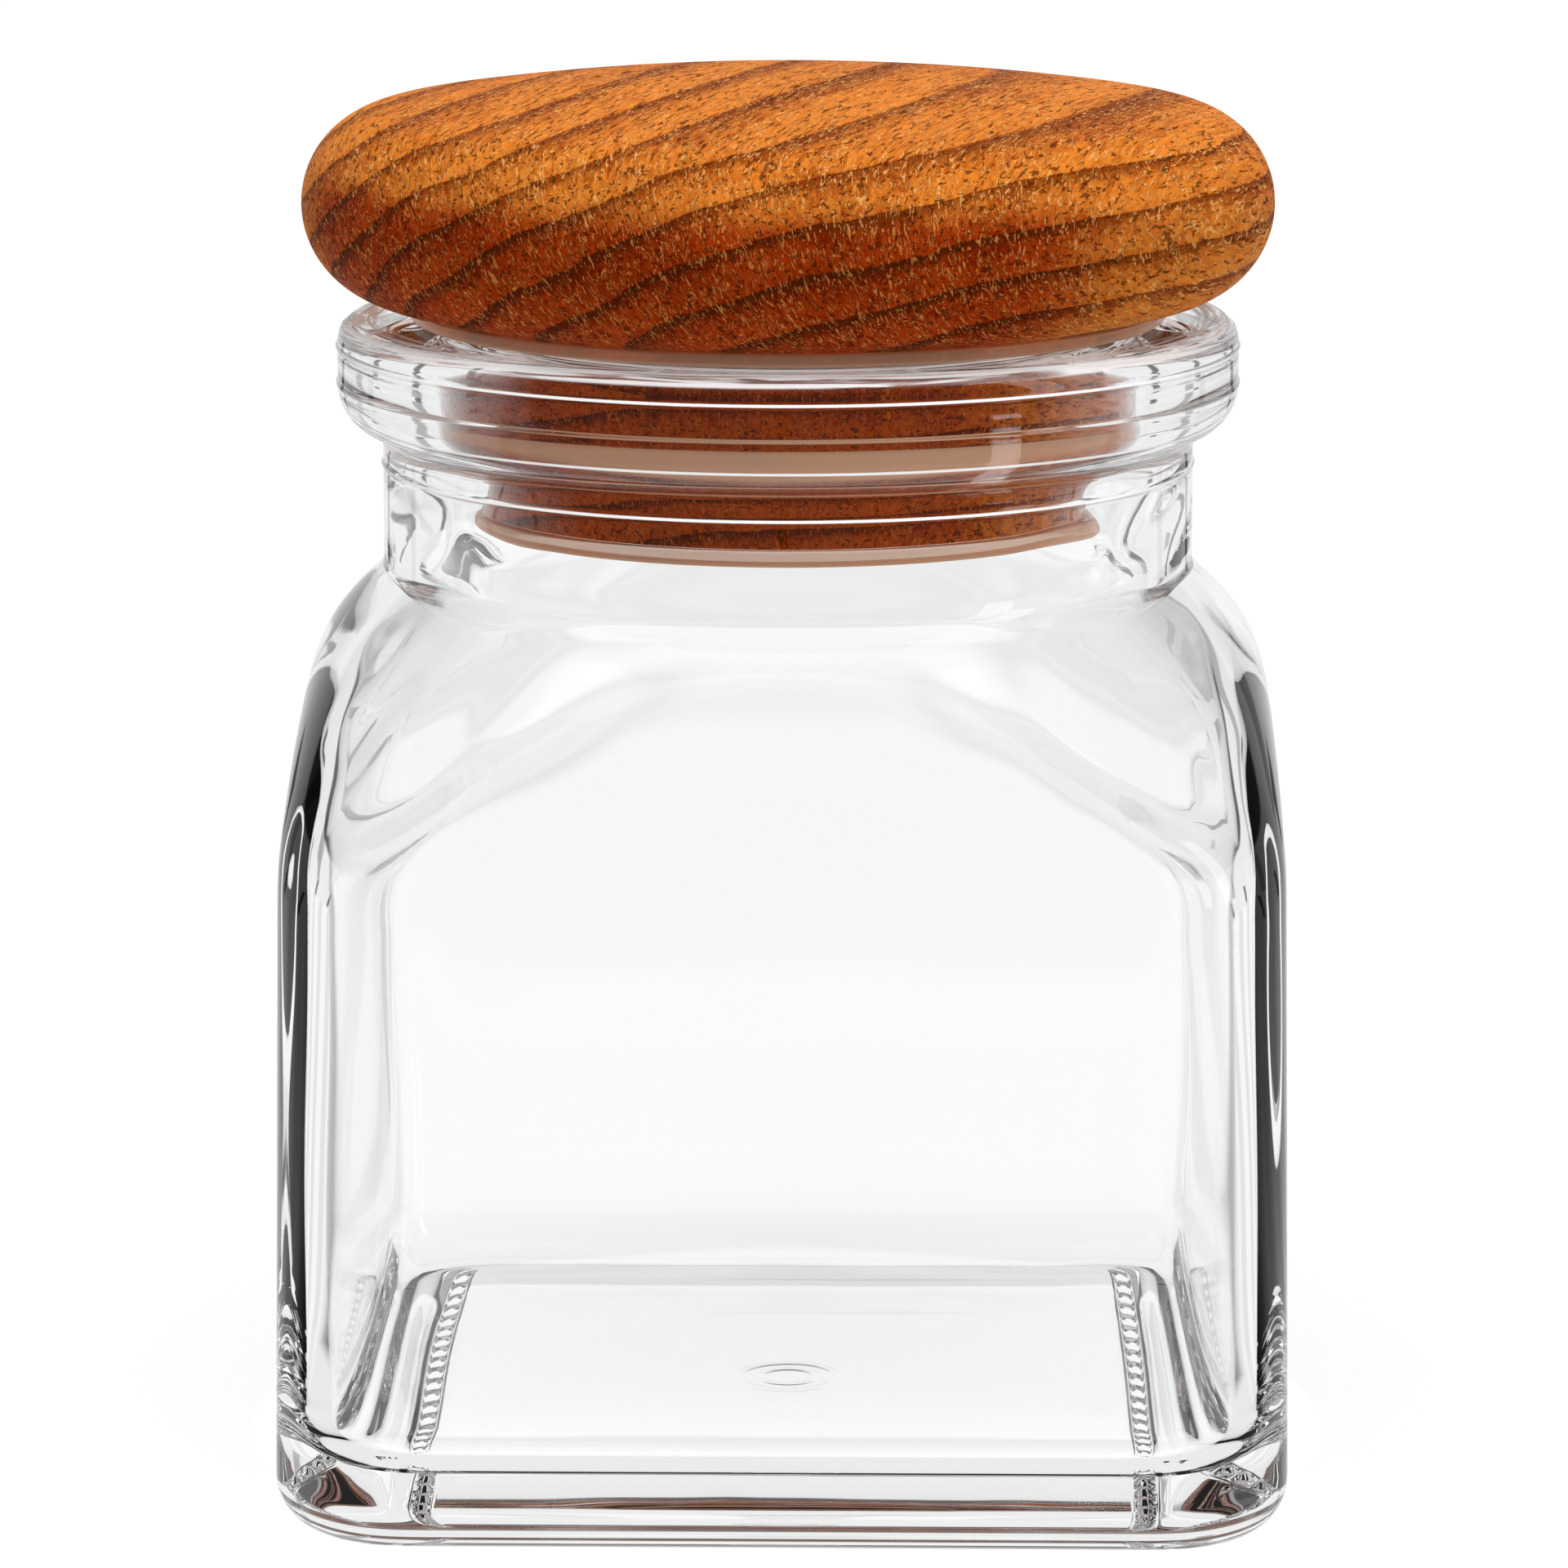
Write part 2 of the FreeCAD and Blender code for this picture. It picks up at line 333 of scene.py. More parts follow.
# Depths of the waves in the inner glass: on the sides, in the corners, high up in the corners and in the bore
SIDE_WAVE = 0.004
CORNER_WAVE = 0.1
HIGH_WAVE = 0.1
HIGH_WAVE_FROM = 44
HIGH_WAVE_RUN = 8
BORE_WAVE = 0.05
BORE_WAVE_TOP = 71.0
BORE_WAVE_RUN = 2


def inside_wave(height):
    """Slight waves of the inner surface, stronger at the corners and strongest high up in them."""
    wave = (
        np.sin(3 * angles + 0.11 * height + 0.7)
        + 0.8 * np.sin(8 * angles - 0.17 * height + 2.1)
        + 0.6 * np.sin(13 * angles + 0.23 * height + 4.0)
    )
    swirl = np.sin(11 * angles + 0.5 * height + 1.0) + np.sin(17 * angles - 0.62 * height + 2.0)
    high = np.clip((height - HIGH_WAVE_FROM) / HIGH_WAVE_RUN, 0, 1)
    return wave * (SIDE_WAVE + CORNER_WAVE * corner_only) + swirl * high * HIGH_WAVE * corner_weight ** 3


def bore_wave(height):
    """Slight waves at both sides of the bore, below the seal's band."""
    below_band = np.clip((BORE_WAVE_TOP - height) / BORE_WAVE_RUN, 0, 1)
    at_sides = np.clip((np.abs(np.cos(angles)) - 0.6) / 0.25, 0, 1)
    wave = np.sin(7 * angles + 0.8 * height) + np.sin(12 * angles - 1.1 * height + 2.0)
    return BORE_WAVE * below_band * at_sides * wave


def seam_bulge(height):
    """How far the mould seams stand out at a height."""
    return sum(SEAM_REACH * math.exp(-((height - seam) / SEAM_WIDTH) ** 2) for seam in SEAM_LEVELS)


# Underside: a shallow hollow with faint rings in its middle, round there and an oblong further out
MIDDLE_STEPS = (0.8, 1.3, 1.5, 1.7, 1.9, 2.1, 2.3, 2.5, 2.8, 3.0, 3.2, 3.4, 3.6, 3.8, 4.0, 4.3, 4.8, 6, 8, 10)
ROUND_TO = 4
OBLONG_FROM = 10
for half in MIDDLE_STEPS:
    mark = MARK_DEPTH * sum(math.exp(-((half - ring) / MARK_WIDTH) ** 2) for ring in MARK_RINGS)
    share = min(max((half - ROUND_TO) / (OBLONG_FROM - ROUND_TO), 0), 1)
    level(square_reach(half, half * 0.999) * (1 - share) + ring_reach(half) * share, PUSH_UP - mark)
for share in np.linspace(0, 1, 22)[1:]:
    half = OBLONG_FROM + (RING_INNER_HALF - OBLONG_FROM) * share
    level(ring_reach(half), PUSH_UP * (1 - eased(share, 0, 1)))

# The standing ring: half of its width, and the shares of the depth of the bars and of the borders beside them
RING_STEPS = (
    (22.78, 0, 0), (22.86, 0, 0.5), (22.94, 0, 1), (23.02, 0, 0.5),
    (23.1, 0.2, 0), (23.25, 0.8, 0), (23.45, 1, 0), (23.65, 1, 0), (23.85, 0.8, 0), (24.0, 0.2, 0),
    (24.08, 0, 0.5), (24.16, 0, 1), (24.24, 0, 0.5), (24.32, 0, 0), (26, 0, 0), (28, 0, 0),
)
for half, depth, border in RING_STEPS:
    reach = ring_reach(half)
    level(reach, BAR_DEPTH * depth * bars(reach) + BORDER_DEPTH * border * along_sides)
for turn in np.linspace(0, np.pi / 2, 10):
    inset = FOOT_ROUND * (1 - np.sin(turn))
    height = FOOT_ROUND * (1 - np.cos(turn))
    level(square_reach(body_half(height) - inset, CORNER - inset), height)

# Outside: wall, shoulder, neck and rim
shoulder_round = OUTER_ROUND + ROUND_SWING * np.cos(2 * off_middle)
rows = shoulder_rows(0.0, shoulder_round, 22)
for share in np.linspace(0, 1, 22)[1:-1]:
    height = FOOT_ROUND + (rows[0][1] - FOOT_ROUND) * share
    level(square_reach(body_half(height), CORNER), height)
for reach, height in rows:
    level(reach, height)
FINE_SPACING = 0.07
WIDE_SPACING = 0.6
SEAM_ZONE = 0.45
CONE_RUN = 6
neck_and_rim = profile(
    [
        (NECK_R + CONE_RUN, SHOULDER_HEIGHT - CONE_RUN * math.tan(SLOPE), 0),
        (NECK_R, SHOULDER_HEIGHT, NECK_FOOT_ROUND),
        (NECK_R, NECK_TOP, 0.8),
        (RIM_R, RIM_FOOT, 3.0),
        (RIM_R, RIM_TOP, 1.3),
        (BORE_R, RIM_TOP, 1.0),
        (BORE_R, BORE_FOOT, BORE_FOOT_ROUND),
        (BORE_R + CONE_RUN, BORE_FOOT - CONE_RUN * math.tan(SLOPE), 0),
    ],
    closed=False,
    arc_count=12,
    step=FINE_SPACING,
)

# Rings lie close together beside the mould seams outside, and wider apart elsewhere
kept = [neck_and_rim[0]]
for point in neck_and_rim[1:]:
    outside = point[0] > (BORE_R + NECK_R) / 2
    near_seam = outside and min(abs(point[1] - seam) for seam in SEAM_LEVELS) < SEAM_ZONE
    if np.linalg.norm(point - kept[-1]) >= (FINE_SPACING if near_seam else WIDE_SPACING):
        kept.append(point)
first_neck = next(i for i, (reach, height) in enumerate(kept) if reach < NECK_R + 0.4)
last_bore = max(i for i, (reach, height) in enumerate(kept) if reach < BORE_R + 1.28)
between = np.linspace(0, 1, 9)[1:-1]
level_run(levels[-1], kept[first_neck], between)
for reach, height in kept[first_neck:last_bore + 1]:
    bulge = seam_bulge(height) if reach > NECK_R - 0.01 else 0.0
    wave = bore_wave(height) if reach < BORE_R + 0.5 else 0.0
    level(reach + bulge + wave, height)

# Inside: shoulder, wall and floor
FLOOR_CORNER_SHARE = 0.7
WAVE_FADE = 6
inner_round = INNER_ROUND + ROUND_SWING * np.cos(2 * off_middle)
rows = shoulder_rows(WALL, inner_round, 18)
rows = [(reach + inside_wave(height), height) for reach, height in rows[::-1]]
level_run(levels[-1], rows[0], between)
for reach, height in rows:
    level(reach, height)
floor_start = FLOOR + FLOOR_ROUND
for share in np.linspace(0, 1, 26)[1:-1]:
    height = rows[-1][1] + (floor_start - rows[-1][1]) * share
    fade = np.clip((height - floor_start) / WAVE_FADE, 0, 1)
    level(square_reach(body_half(height) - WALL, CORNER - WALL) + inside_wave(height) * fade, height)
for turn in np.linspace(0, np.pi / 2, 16):
    inset = FLOOR_ROUND * (1 - np.cos(turn))
    height = FLOOR + FLOOR_ROUND * (1 - np.sin(turn))
    level(square_reach(body_half(height) - WALL - inset, CORNER - WALL - FLOOR_CORNER_SHARE * inset), height)
floor_half = body_half(FLOOR) - WALL - FLOOR_ROUND
floor_corner = CORNER - WALL - FLOOR_CORNER_SHARE * FLOOR_ROUND
for share in (0.97, 0.92, 0.84, 0.74, 0.62, 0.5, 0.38, 0.26, 0.14, 0.06):
    level(square_reach(floor_half * share, floor_corner * share), FLOOR)

jar_rings = [np.stack([r * np.cos(angles), r * np.sin(angles), z], axis=1) for r, z in levels]
jar = wrapped_piece("jar_glass", jar_rings, (0, 0, PUSH_UP), (0, 0, FLOOR))

# Seal: it meets the wood of the plug with no air between, so its inner side lies just inside the plug's
# surface. Each corner has a radius, a height and a rounding.
PRESS = 0.11
inner_r = SEAL_INNER_R - PRESS
seal_corners = [
    (inner_r, DISC_UNDERSIDE, 0.05),
    (SEAL_FLANGE_R, DISC_UNDERSIDE, 0.25),
    (SEAL_FLANGE_R, RIM_TOP, 0.25),
    (SEAL_BAND_R, RIM_TOP, 0.12),
    (SEAL_BAND_R, SEAL_BAND_BOTTOM, 0.9),
    (SEAL_SKIRT_R, SEAL_BAND_BOTTOM, 0.15),
]
for rib_top in RIB_TOPS:
    seal_corners += [
        (SEAL_SKIRT_R, rib_top, 0.06),
        (SEAL_RIB_R, rib_top, 0.17),
        (SEAL_RIB_R, rib_top - RIB_HEIGHT, 0.17),
        (SEAL_SKIRT_R, rib_top - RIB_HEIGHT, 0.06),
    ]
seal_corners += [
    (SEAL_SKIRT_R, SEAL_LIP_TOP, 0.06),
    (SEAL_RIB_R, SEAL_LIP_TOP, 0.25),
    (SEAL_RIB_R, SEAL_BOTTOM, 0.25),
    (SEAL_HOOK_R, SEAL_BOTTOM, 0.25),
    (SEAL_HOOK_R, SEAL_HOOK_TOP + PRESS, 0.05),
    (inner_r, SEAL_HOOK_TOP + PRESS, 0.05),
]
seal = turned_piece("seal_silicone", profile(seal_corners, closed=True, arc_count=7)[::-1])

# Plug
POLE_R = 0.5
plug_points = profile(
    [
        (POLE_R, PLUG_BOTTOM, 0),
        (PLUG_R, PLUG_BOTTOM, 0.3),
        (PLUG_R, SOCKET_TOP, 0.3),
        (POLE_R, SOCKET_TOP, 0),
    ],
    closed=False,
)
plug = turned_piece("plug_turned", plug_points, 256, (0, 0, PLUG_BOTTOM), (0, 0, SOCKET_TOP))

# Disc: seat, conical belly, two edge arcs and a crowned top
SEAT_INNER_R = 21
belly = math.radians(12.6)
lower_r, upper_r, crown_rise = 6.35, 6.3, 2.0
lower_arc = [
    (DISC_R - lower_r + lower_r * np.cos(t), WIDEST_LEVEL + lower_r * np.sin(t))
    for t in np.linspace(belly - np.pi / 2, 0, 24)
]
centre_r = DISC_R - upper_r
crown_height = upper_r + crown_rise
crown_radius = (centre_r ** 2 + crown_height ** 2 - upper_r ** 2) / (2 * crown_rise)
crown_low = DISC_TOP - crown_radius
edge_turn = math.atan2(WIDEST_LEVEL - crown_low, centre_r)
upper_arc = [
    (centre_r + upper_r * np.cos(t), WIDEST_LEVEL + upper_r * np.sin(t))
    for t in np.linspace(0, edge_turn, 24)[1:]
]
crown_arc = [
    (crown_radius * np.cos(t), crown_low + crown_radius * np.sin(t))
    for t in np.linspace(edge_turn, np.pi / 2, 24)[1:-1]
]
socket = profile(
    [
        (POLE_R, SOCKET_TOP, 0),
        (SOCKET_R, SOCKET_TOP, 0.1),
        (SOCKET_R, DISC_UNDERSIDE, 0.1),
        (SEAT_INNER_R, DISC_UNDERSIDE, 0),
    ],
    closed=False,
)
seat = profile(
    [(SEAT_INNER_R, DISC_UNDERSIDE, 0), (DISC_SEAT_R, DISC_UNDERSIDE, 0.3), lower_arc[0] + (0,)],
    closed=False,
)
disc_points = np.concatenate([socket, seat[1:-1], lower_arc, upper_arc, crown_arc])
disc = turned_piece("disc_turned", disc_points, 384, (0, 0, SOCKET_TOP), (0, 0, DISC_TOP))


# Materials

class Shader:
    """Short calls for building a node tree."""

    def __init__(self, tree):
        self.tree = tree
        tree.nodes.clear()

    def node(self, kind, inputs=None, **settings):
        made = self.tree.nodes.new(kind)
        for name, value in settings.items():
            setattr(made, name, value)
        for name, value in (inputs or {}).items():
            self.put(made.inputs[name], value)
        return made

    def put(self, socket, value):
        if isinstance(value, bpy.types.NodeSocket):
            self.tree.links.new(value, socket)
        else:
            socket.default_value = value

    def math(self, operation, first, second=0.0, third=0.0):
        made = self.node("ShaderNodeMath", operation=operation)
        for socket, value in zip(made.inputs, (first, second, third)):
            self.put(socket, value)
        return made.outputs[0]

    def dot(self, vector, axis):
        made = self.node("ShaderNodeVectorMath", operation="DOT_PRODUCT")
        self.put(made.inputs[0], vector)
        made.inputs[1].default_value = axis
        return made.outputs["Value"]

    def scaled(self, vector, scale):
        made = self.node("ShaderNodeVectorMath", operation="MULTIPLY")
        self.put(made.inputs[0], vector)
        made.inputs[1].default_value = scale
        return made.outputs[0]

    def noise(self, vector, scale=1.0, detail=2.0, roughness=0.5, distortion=0.0):
        made = self.node(
            "ShaderNodeTexNoise",
            {"Scale": scale, "Detail": detail, "Roughness": roughness, "Distortion": distortion},
        )
        self.put(made.inputs["Vector"], vector)
        return made.outputs["Fac"]

    def span(self, value, low, high, to_low=0.0, to_high=1.0, smooth=True):
        made = self.node("ShaderNodeMapRange", interpolation_type="SMOOTHSTEP" if smooth else "LINEAR")
        self.put(made.inputs["Value"], value)
        made.inputs["From Min"].default_value = low
        made.inputs["From Max"].default_value = high
        made.inputs["To Min"].default_value = to_low
        made.inputs["To Max"].default_value = to_high
        return made.outputs["Result"]

    def ramp(self, value, stops):
        made = self.node("ShaderNodeValToRGB")
        self.put(made.inputs["Fac"], value)
        elements = made.color_ramp.elements
        while len(elements) < len(stops):
            elements.new(0.5)
        for element, (position, colour) in zip(elements, stops):
            element.position = position
            element.color = (*colour, 1.0)
        return made.outputs["Color"]

    def mix(self, share, first, second, blend="MIX"):
        made = self.node("ShaderNodeMix", data_type="RGBA", blend_type=blend)
        self.put(made.inputs[0], share)
        self.put(made.inputs[6], first)
        self.put(made.inputs[7], second)
        return made.outputs[2]


# Direction of the wood's grain, the place of its pith, in millimetres across the grain and above the foot,
# the width of its rings, and the colours of late wood, of pores and the tint of the pale strokes on end grain
# and under painted shade
GRAIN = (0.309, 0.951, 0.0)
PITH_ACROSS = 38.0
PITH_HEIGHT = -11.0
RING_WIDTH = 2.75
LATE_WOOD = (0.09, 0.015, 0.002, 1.0)
PORE = (0.09, 0.016, 0.003, 1.0)
END_AND_SHADE_STROKE_TINT = (0.82, 0.62, 0.5)


def new_material(name):
    """Material and the calls for its nodes."""
    material = bpy.data.materials.new(name)
    material.use_nodes = True
    return material, Shader(material.node_tree)


def wood(name, shift, pale, deep, end_grain_and_painted_shade, bright):
    """Oiled wood with growth rings, fibres, rays and pores, with painted shade on faces that don't turn up and
    small painted highlights in the pale strokes. The grain runs level, back and to the right.
    """
    material, s = new_material(name)
    coordinates = s.node("ShaderNodeTexCoord")
    place = s.node("ShaderNodeVectorMath", operation="MULTIPLY_ADD")
    s.put(place.inputs[0], coordinates.outputs["Object"])
    place.inputs[1].default_value = (1 / MM, 1 / MM, 1 / MM)
    place.inputs[2].default_value = shift
    place = place.outputs[0]
    along = s.dot(place, GRAIN)
    across = s.dot(place, (GRAIN[1], -GRAIN[0], 0.0))
    height = s.dot(place, (0.0, 0.0, 1.0))
    grain = s.node("ShaderNodeCombineXYZ", {"X": along, "Y": across, "Z": height}).outputs[0]

    # Growth rings about a pith below and to the right: pale at first, darker outwards, then a sharp edge
    sway = s.noise(s.scaled(grain, (0.006, 0.05, 0.05)), 1.0, 2.0)
    ripple = s.noise(s.scaled(grain, (0.06, 0.5, 0.5)), 1.0, 4.0, 0.6)
    run = s.math("SUBTRACT", across, PITH_ACROSS)
    rise = s.math("SUBTRACT", height, PITH_HEIGHT)
    outward = s.math("SQRT", s.math("ADD", s.math("MULTIPLY", run, run), s.math("MULTIPLY", rise, rise)))
    outward = s.math("ADD", outward, s.math("MULTIPLY", sway, 4.0))
    outward = s.math("ADD", outward, s.math("MULTIPLY", ripple, 0.45))
    round_pith = s.math("MULTIPLY", s.math("ARCTAN2", run, rise), 100.0)
    ring = s.math("FRACT", s.math("DIVIDE", outward, RING_WIDTH))
    band = s.ramp(ring, [
        (0.0, (0.15, 0.15, 0.15)),
        (0.04, (0.95, 0.95, 0.95)),
        (0.3, (1.0, 1.0, 1.0)),
        (0.6, (0.7, 0.7, 0.7)),
        (0.85, (0.3, 0.3, 0.3)),
        (0.97, (0.0, 0.0, 0.0)),
    ])
    radial = s.node("ShaderNodeCombineXYZ", {"X": along, "Y": outward, "Z": round_pith}).outputs[0]
    fibre = s.noise(s.scaled(radial, (0.35, 1.5, 3.0)), 1.0, 3.0, 0.65, 0.6)
    patch = s.noise(s.scaled(grain, (0.05, 0.2, 0.2)), 1.0, 2.0)
    tone = s.math("MULTIPLY", band, 0.62)
    tone = s.math("ADD", tone, s.math("MULTIPLY", s.math("SUBTRACT", fibre, 0.5), 2.4))
    tone = s.math("ADD", tone, s.math("MULTIPLY", s.math("SUBTRACT", patch, 0.5), 1.0))
    colour = s.mix(s.span(tone, 0.0, 0.8, smooth=False), (*deep, 1.0), (*pale, 1.0))

    # End grain drinks more oil and is darker. The same mask also paints shade: it is cut off on faces that
    # turn up, so the front and ends of the wood are painted darker than its top, as if in shade. The edges of
    # the rings are darker, and more so under that mask.
    level_normal = s.node("ShaderNodeVectorMath", operation="NORMALIZE")
    s.put(level_normal.inputs[0], s.scaled(coordinates.outputs["Normal"], (1.0, 1.0, 0.0)))
    facing = s.math("ABSOLUTE", s.dot(level_normal.outputs[0], GRAIN))
    upward = s.dot(coordinates.outputs["Normal"], (0.0, 0.0, 1.0))
    end = s.math("MULTIPLY", s.span(facing, 0.42, 0.7), s.span(upward, 0.2, 0.58, 1.0, 0.0))
    colour = s.mix(end, colour, s.mix(1.0, colour, (*end_grain_and_painted_shade, 1.0), "MULTIPLY"))
    line = s.math("MULTIPLY", s.span(ring, 0.66, 0.98), s.span(ring, 0.985, 1.0, 1.0, 0.0))
    line = s.math("MULTIPLY", line, s.span(end, 0.0, 1.0, 0.5, 0.88))
    colour = s.mix(line, colour, LATE_WOOD)

    # Rays are pale strokes from ring to ring, and they also paint small highlights; pores are dark dashes
    # along the grain. The strokes are dimmer under the mask of end grain and painted shade.
    ray_field = s.noise(s.scaled(radial, (0.6, 0.9, 3.4)), 1.0, 1.5, 0.5, 2.6)
    ray = s.span(ray_field, 0.55, 0.62)
    pore_field = s.noise(s.scaled(grain, (0.6, 3.4, 3.4)), 1.0, 1.5, 0.5, 0.8)
    pore = s.span(pore_field, 0.6, 0.67)
    end_and_shade_stroke_colour = tuple(channel * share for channel, share in zip(bright, END_AND_SHADE_STROKE_TINT))
    stroke_and_glint_colour = s.mix(end, (*bright, 1.0), (*end_and_shade_stroke_colour, 1.0))
    colour = s.mix(s.math("MULTIPLY", ray, 0.66), colour, stroke_and_glint_colour)
    colour = s.mix(s.math("MULTIPLY", pore, 0.75), colour, PORE)

    rough = s.math("ADD", 0.45, s.math("MULTIPLY", fibre, 0.12))
    rough = s.math("ADD", rough, s.math("MULTIPLY", pore, 0.2))
    relief = s.math("ADD", s.math("MULTIPLY", fibre, 0.5), s.math("MULTIPLY", ray, 0.5))
    relief = s.math("SUBTRACT", relief, s.math("ADD", pore, s.math("MULTIPLY", line, 0.6)))
    bump = s.node("ShaderNodeBump", {"Strength": 0.8, "Distance": 0.00025, "Height": relief})
    shader = s.node("ShaderNodeBsdfPrincipled", {
        "Base Color": colour,
        "Roughness": rough,
        "Specular IOR Level": 0.01,
        "Normal": bump.outputs[0],
    })
    s.node("ShaderNodeOutputMaterial", {"Surface": shader.outputs[0]})
    return material


def clear(name, tint, haze_tint, ior, roughness, wave_scale, wave_depth):
    """Clear glass or silicone, with faint clouds in its tint and slight waves in its surface.

    Returns the material, the calls for its nodes, the place in millimetres and the clear surface.
    """
    material, s = new_material(name)
    coordinates = s.node("ShaderNodeTexCoord")
    place = s.scaled(coordinates.outputs["Object"], (1 / MM, 1 / MM, 1 / MM))
    cloud = s.noise(s.scaled(place, (0.05, 0.05, 0.05)), 1.0, 2.0)
    colour = s.mix(cloud, (*tint, 1.0), (*haze_tint, 1.0))
    wave = s.noise(s.scaled(place, (wave_scale, wave_scale, wave_scale * 0.5)), 1.0, 1.0)
    bump = s.node("ShaderNodeBump", {"Strength": 1.0, "Distance": wave_depth, "Height": wave})
    shader = s.node("ShaderNodeBsdfPrincipled", {
        "Base Color": colour,
        "Roughness": roughness,
        "IOR": ior,
        "Specular Tint": (0.5, 0.5, 0.5, 1.0),
        "Transmission Weight": 1.0,
        "Normal": bump.outputs[0],
    })
    return material, s, place, shader.outputs[0]


def cloud_and_highlight(s, surface, share, colour):
    """Ends a material: its clear surface, mixed by a share with a pale diffuse one, which gives cloudiness and
    painted highlights.
    """
    pale_diffuse = s.node("ShaderNodeBsdfDiffuse", {"Color": (*colour, 1.0)})
    both = s.node("ShaderNodeMixShader", {"Fac": share})
    s.put(both.inputs[1], surface)
    s.put(both.inputs[2], pale_diffuse.outputs[0])
    s.node("ShaderNodeOutputMaterial", {"Surface": both.outputs[0]})


glass, s, place, surface = clear(
    "clear_glass",
    tint=(0.995, 0.998, 0.999),
    haze_tint=(0.985, 0.991, 0.993),
    ior=1.5,
    roughness=0.0,
    wave_scale=0.09,
    wave_depth=0.000012,
)
height = s.dot(place, (0.0, 0.0, 1.0))
flat_place = s.scaled(place, (1.0, 1.0, 0.0))
outer = s.node("ShaderNodeVectorMath", operation="LENGTH")
s.put(outer.inputs[0], flat_place)

# Painted highlights: white lines at two of the seams and near the rim's foot, and white streaks on the upper
# edge of the rim, made by mixing in a white diffuse surface that a lamp lights
painted_highlight = 0.0
for seam in HIGHLIGHT_LINE_LEVELS:
    off_seam = s.math("ABSOLUTE", s.math("SUBTRACT", height, seam))
    painted_highlight = s.math("MAXIMUM", painted_highlight, s.span(off_seam, 0.06, 0.13, 0.85, 0.0))
painted_highlight = s.math("MULTIPLY", painted_highlight, s.math("GREATER_THAN", outer.outputs["Value"], NECK_R - 0.5))
turn = s.node("ShaderNodeSeparateXYZ", {"Vector": place})
turn = s.math("ARCTAN2", turn.outputs["Y"], turn.outputs["X"])
streak_place = s.node("ShaderNodeCombineXYZ", {
    "X": s.math("MULTIPLY", turn, 3.0),
    "Y": s.math("MULTIPLY", outer.outputs["Value"], 2.2),
    "Z": s.math("MULTIPLY", height, 2.2),
}).outputs[0]
highlight_streak = s.span(s.noise(streak_place, 1.0, 2.0, 0.5, 0.6), 0.42, 0.55, 0.1, 0.8)
edge = s.span(height, RIM_TOP - 0.75, RIM_TOP - 0.55)
edge = s.math("MULTIPLY", edge, s.span(outer.outputs["Value"], RIM_R - 3.7, RIM_R - 2.2))
painted_highlight = s.math("MAXIMUM", painted_highlight, s.math("MULTIPLY", edge, highlight_streak))
cloud_and_highlight(s, surface, painted_highlight, (0.9, 0.9, 0.9))

silicone, s, place, surface = clear(
    "clear_silicone",
    tint=(0.95, 0.9, 0.86),
    haze_tint=(0.92, 0.85, 0.8),
    ior=1.41,
    roughness=0.06,
    wave_scale=0.3,
    wave_depth=0.00003,
)

# The thick parts of the silicone are cloudy: flange and lip. There is also a paler band just above the band's
# foot, and a painted highlight along the top of the upper of the two ribs
height = s.dot(place, (0.0, 0.0, 1.0))
flange = s.span(height, RIM_TOP - 0.2, RIM_TOP, 0.0, 0.4)
lip = s.span(height, SEAL_LIP_TOP - 0.2, SEAL_LIP_TOP, 0.5, 0.0)
over_band_foot = s.math("SUBTRACT", height, SEAL_BAND_BOTTOM)
bead = s.math("MULTIPLY", s.span(over_band_foot, 0.6, 0.9), s.span(over_band_foot, 1.2, 1.55, 0.8, 0.0))
# Painted highlight along the top of the upper of the two ribs
over_rib = s.math("SUBTRACT", height, RIB_TOPS[0])
rib_highlight = s.math("MULTIPLY", s.span(over_rib, -0.3, -0.2), s.span(over_rib, 0.1, 0.2, 0.6, 0.0))
bead = s.math("MAXIMUM", bead, rib_highlight)
cloud_and_highlight(s, surface, s.math("MAXIMUM", flange, s.math("MAXIMUM", lip, bead)), (0.85, 0.5, 0.32))

disc_wood = wood(
    "disc_wood",
    shift=(0.0, 0.0, 0.0),
    pale=(0.86, 0.25, 0.027),
    deep=(0.38, 0.068, 0.005),
    end_grain_and_painted_shade=(0.53, 0.19, 0.1),
    bright=(1.0, 0.48, 0.14),
)
plug_wood = wood(
    "plug_wood",
    shift=(31.0, 12.0, 7.0),
    pale=(0.62, 0.16, 0.018),
    deep=(0.3, 0.05, 0.003),
    end_grain_and_painted_shade=(0.8, 0.5, 0.4),
    bright=(0.75, 0.25, 0.03),
)

jar.data.materials.append(glass)
seal.data.materials.append(silicone)
disc.data.materials.append(disc_wood)
plug.data.materials.append(plug_wood)

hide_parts("glass_jar")
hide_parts("seal_ring")
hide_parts("lid_disc")
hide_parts("lid_plug")
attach(jar, "jar")
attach(seal, "seal")
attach(disc, "lid")
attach(plug, "lid")

# Light passes the glass on its way to the wood and the floor
for piece in (jar, seal):
    piece.visible_shadow = False
    piece.visible_diffuse = False


# Studio: a plain white surround. Light that the glass bends far aside sees a darker room, as in bright-field
# lighting of glass, and what the glass mirrors is a set of white cards with dark gaps between them.
DARK_ROOM = 0.12


def seen_straight(s):
    """Two shares of a ray: seen by the camera or through glass, and seen after a mirror reflection."""
    path = s.node("ShaderNodeLightPath")
    glossy = s.math("MAXIMUM", path.outputs["Is Glossy Ray"], path.outputs["Is Transmission Ray"])
    mirrored = s.math("MULTIPLY", glossy, s.math("GREATER_THAN", path.outputs["Glossy Depth"], 0.5))
    straight = s.math("MAXIMUM", path.outputs["Is Camera Ray"], s.math("SUBTRACT", glossy, mirrored))
    return straight, mirrored


